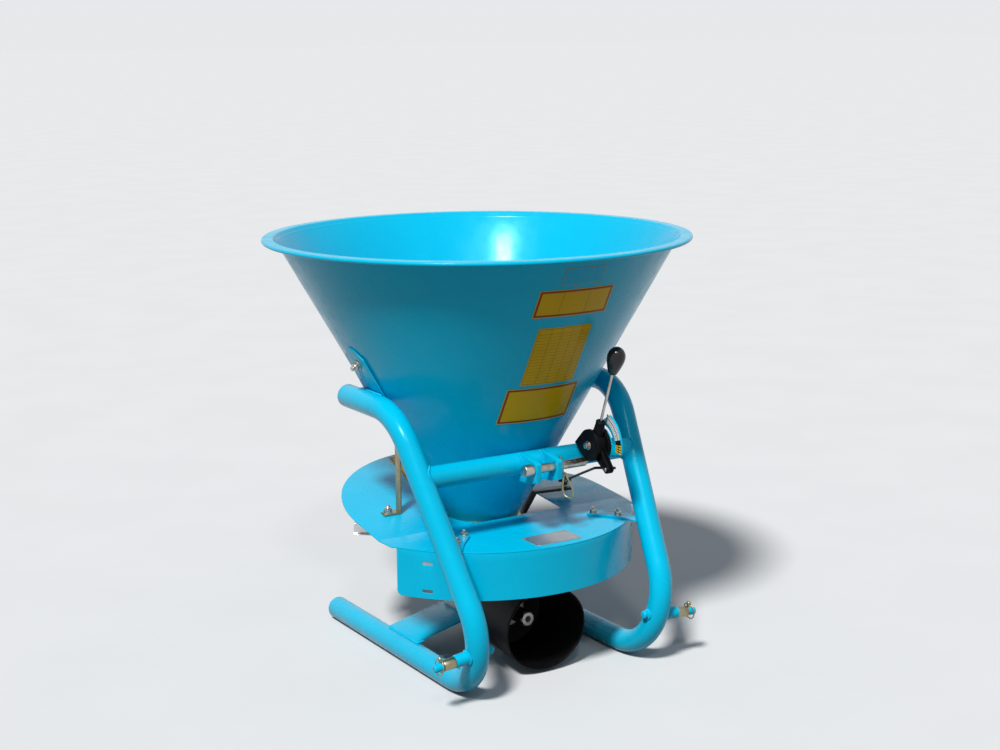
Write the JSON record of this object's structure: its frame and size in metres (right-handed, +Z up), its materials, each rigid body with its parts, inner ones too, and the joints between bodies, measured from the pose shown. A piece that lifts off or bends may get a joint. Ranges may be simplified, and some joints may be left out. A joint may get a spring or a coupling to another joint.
{
  "type": "fertilizer spreader",
  "caption": "Tractor-mounted cone fertilizer spreader: bent-tube frame, open conical hopper, control lever with link and shutter, gearbox, and a guarded throwing disc with vanes.",
  "frame": {"origin": "on the ground under the hopper's axis, the middle of the bounding box's bottom", "axes": "+Z up along the hopper's axis, +Y to the machine's rear away from the tractor, +X to the control lever's side"},
  "size_m": [0.94, 0.94, 0.929],
  "materials": {
    "enamel": "glossy blue enamel",
    "yellow_zinc": "yellow zinc plating",
    "bright_zinc": "bright zinc plating",
    "stainless": "polished stainless sheet",
    "plate": "satin, bare",
    "casting": "cast, matt",
    "steel": "machined, oiled",
    "black_plastic": "moulded, satin",
    "gloss_black": "moulded, glossy",
    "black_steel": "dark finish"
  },
  "bodies": {
    "frame": {"side_tube_left": "enamel", "side_tube_right": "enamel", "cross_tube": "enamel", "gearbox_carrier_left": "enamel", "gearbox_carrier_right": "enamel", "hopper": "enamel", "hopper_gusset_left": "enamel", "hopper_gusset_right": "enamel", "guard_plate": "enamel", "guard_skirt": "enamel", "guard_tab_left": "enamel", "guard_tab_right": "enamel", "top_link_bracket": "enamel", "sector_plate": "enamel", "lower_pin_left": "enamel", "lower_pin_right": "enamel", "outlet_floor": "yellow_zinc", "lobe_strap": "yellow_zinc", "linch_pin_left": "yellow_zinc", "linch_pin_right": "yellow_zinc", "gusset_bolt_left": "bright_zinc", "gusset_bolt_right": "bright_zinc", "guard_bolt_left": "bright_zinc", "guard_bolt_right": "bright_zinc", "carrier_bolt_left": "bright_zinc", "carrier_bolt_right": "bright_zinc", "strap_bolt": "bright_zinc", "lever_pivot_bolt": "bright_zinc", "blank_plate": "plate", "gearbox_housing": "casting", "gearbox_cover": "casting", "input_bearing_front": "steel", "input_bearing_rear": "steel", "output_bearing_upper": "steel", "output_bearing_lower": "steel", "lever_clamp_front": "black_plastic", "lever_clamp_rear": "black_plastic", "pto_shield": "black_plastic"},
    "disc": {"throwing_disc": "stainless", "disc_nut": "bright_zinc", "vane_1": "stainless", "vane_2": "stainless", "vane_3": "stainless", "vane_4": "stainless", "output_shaft": "steel", "output_gear": "steel", "agitator": "steel"},
    "input": {"input_shaft": "steel"},
    "lever": {"lever_hub": "black_plastic", "lever_rod": "bright_zinc", "lever_knob": "gloss_black"},
    "link": {"link_rod": "black_steel"},
    "shutter": {"shutter_plate": "black_steel", "link_bolt": "yellow_zinc"},
    "sleeve_left": {"lower_sleeve_left": "bright_zinc"},
    "sleeve_right": {"lower_sleeve_right": "bright_zinc"},
    "ring_left": {"linch_ring_left": "yellow_zinc"},
    "ring_right": {"linch_ring_right": "yellow_zinc"},
    "hitch_pin": {"top_link_pin": "bright_zinc"},
    "clip": {"hitch_clip": "yellow_zinc"}
  },
  "joints": [
    {"name": "disc_spin", "type": "hinge", "parent": "frame", "child": "disc", "pos_m": [0, 0, 0.232], "axis": [0, 0, 1], "continuous": true},
    {"name": "input_spin", "type": "hinge", "parent": "frame", "child": "input", "pos_m": [0, -0.1, 0.1], "axis": [0, 1, 0], "continuous": true},
    {"name": "lever_swing", "type": "hinge", "parent": "frame", "child": "lever", "pos_m": [0.1214, -0.28, 0.494], "axis": [1, 0, 0], "range_deg": [0, 60]},
    {"name": "link_swing", "type": "hinge", "parent": "lever", "child": "link", "pos_m": [0.1214, -0.32905, 0.44984], "axis": [1, 0, 0], "range_deg": [-56, 0.5]},
    {"name": "shutter_turn", "type": "hinge", "parent": "frame", "child": "shutter", "pos_m": [0, 0, 0.284], "axis": [0, 0, 1], "range_deg": [-0.5, 19.2]},
    {"name": "sleeve_left_roll", "type": "hinge", "parent": "frame", "child": "sleeve_left", "pos_m": [-0.29047, -0.36165, 0.10973], "axis": [-0.9934, 0, -0.1149], "continuous": true},
    {"name": "sleeve_right_roll", "type": "hinge", "parent": "frame", "child": "sleeve_right", "pos_m": [0.29047, -0.36165, 0.10973], "axis": [0.9934, 0, -0.1149], "continuous": true},
    {"name": "ring_left_flip", "type": "hinge", "parent": "frame", "child": "ring_left", "pos_m": [-0.31511, -0.36165, 0.1248], "axis": [0, 1, 0], "range_deg": [-12, 110]},
    {"name": "ring_right_flip", "type": "hinge", "parent": "frame", "child": "ring_right", "pos_m": [0.31511, -0.36165, 0.1248], "axis": [0, -1, 0], "range_deg": [-12, 110]},
    {"name": "hitch_pin_turn", "type": "hinge", "parent": "frame", "child": "hitch_pin", "pos_m": [0, -0.271, 0.4575], "axis": [1, 0, 0], "range_deg": [-35, 40]},
    {"name": "clip_pull", "type": "slide", "parent": "hitch_pin", "child": "clip", "axis": [0, -0.2487, -0.9686], "range_m": [0, 0.075]}
  ],
  "couplings": [
    {"joint": "input_spin", "follows": "disc_spin", "ratio": 0.73684},
    {"joint": "link_swing", "follows": "lever_swing", "ratio": -0.9233},
    {"joint": "shutter_turn", "follows": "lever_swing", "ratio": 0.3117}
  ]
}
